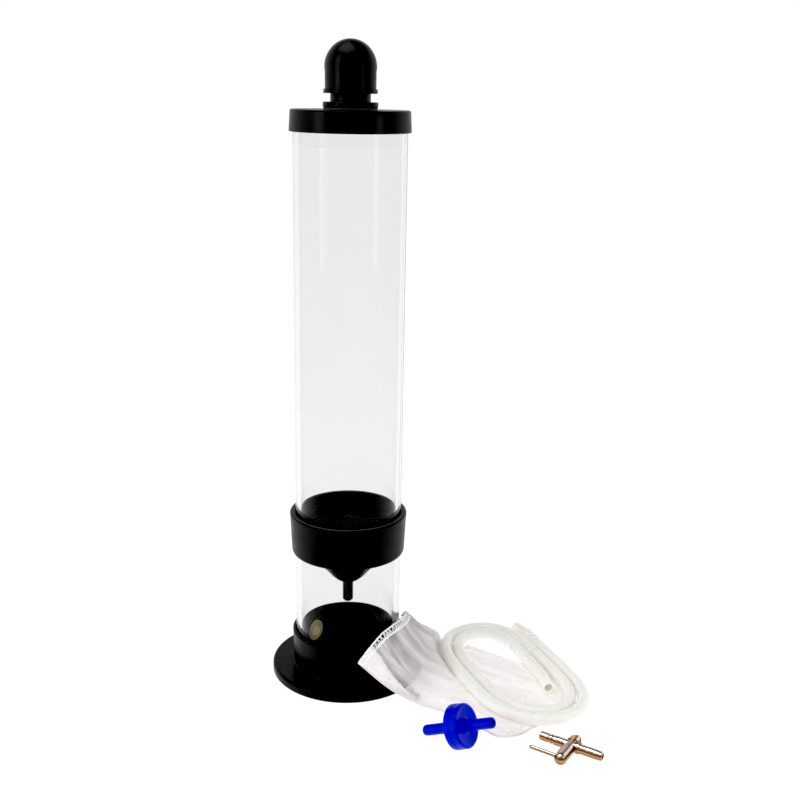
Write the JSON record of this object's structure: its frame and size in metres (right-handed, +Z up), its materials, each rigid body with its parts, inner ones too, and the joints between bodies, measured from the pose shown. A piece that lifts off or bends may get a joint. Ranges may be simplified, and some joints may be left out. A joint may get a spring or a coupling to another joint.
{
  "type": "protein skimmer",
  "caption": "Slim air-driven clear column on a round foot, with funnel cup, push-on lid and vent elbow; air hose, valves and mesh bag lie beside it.",
  "frame": {"origin": "centre of the foot's underside, on the column's axis", "axes": "+Z up along the column; -Y is the front; the loose kit lies on the +X side; the vent outlet points to +Y"},
  "size_m": [0.1817, 0.1443, 0.3542],
  "materials": {
    "black_plastic": "satin",
    "clear_acrylic": "clear",
    "black_rubber": "matte",
    "silicone_bush": "satin",
    "ivory_silicone": "satin",
    "clear_tape": "clear",
    "nylon_mesh": "sheer mesh",
    "blue_plastic": "satin",
    "brass": "polished"
  },
  "bodies": {
    "stand": {"foot_plate": "black_plastic", "base_cup": "black_plastic", "hose_grommet": "silicone_bush", "stand_tube": "clear_acrylic"},
    "column": {"funnel_cup": "black_plastic", "column_tube": "clear_acrylic"},
    "lid": {"lid": "black_plastic", "lid_o_ring": "black_rubber", "bulkhead_body": "black_plastic", "bulkhead_gasket": "black_rubber", "bulkhead_nut": "black_plastic"},
    "elbow": {"vent_elbow": "black_plastic", "elbow_seal": "black_rubber"},
    "check_valve": {"check_valve_inlet_half": "blue_plastic", "check_valve_outlet_half": "blue_plastic"},
    "diaphragm": {"check_valve_diaphragm": "black_rubber"},
    "air_valve": {"air_valve_barrel": "brass", "air_valve_packing": "black_rubber"},
    "air_valve_plug": {"air_valve_stem": "brass", "air_valve_lever": "brass", "air_valve_nut": "brass"},
    "bag": {"mesh_bag": "nylon_mesh"},
    "hose": {"hose_coil": "ivory_silicone", "hose_end_outer": "ivory_silicone", "hose_end_inner": "ivory_silicone", "hose_tape": "clear_tape"}
  },
  "joints": [
    {"name": "column_lift", "type": "slide", "parent": "stand", "child": "column", "axis": [0, 0, 1], "range_m": [0, 0.12]},
    {"name": "lid_lift", "type": "slide", "parent": "column", "child": "lid", "axis": [0, 0, 1], "range_m": [0, 0.05]},
    {"name": "elbow_swivel", "type": "hinge", "parent": "lid", "child": "elbow", "pos_m": [0, 0, 0.3322], "axis": [0, 0, 1], "continuous": true},
    {"name": "check_valve_lift", "type": "slide", "parent": "stand", "child": "check_valve", "axis": [0, 0, 1], "range_m": [0, 0.05]},
    {"name": "diaphragm_stroke", "type": "slide", "parent": "check_valve", "child": "diaphragm", "axis": [0.8002, -0.4436, 0.4035], "range_m": [0, 0.0008]},
    {"name": "air_valve_lift", "type": "slide", "parent": "stand", "child": "air_valve", "axis": [0, 0, 1], "range_m": [0, 0.05]},
    {"name": "air_valve_turn", "type": "hinge", "parent": "air_valve", "child": "air_valve_plug", "pos_m": [0.1202, -0.0861, 0.0036], "axis": [0.5358, 0.8443, 0], "range_deg": [0, 90]},
    {"name": "bag_lift", "type": "slide", "parent": "stand", "child": "bag", "axis": [0, 0, 1], "range_m": [0, 0.035]},
    {"name": "hose_lift", "type": "slide", "parent": "bag", "child": "hose", "axis": [0, 0, 1], "range_m": [0, 0.05]}
  ]
}
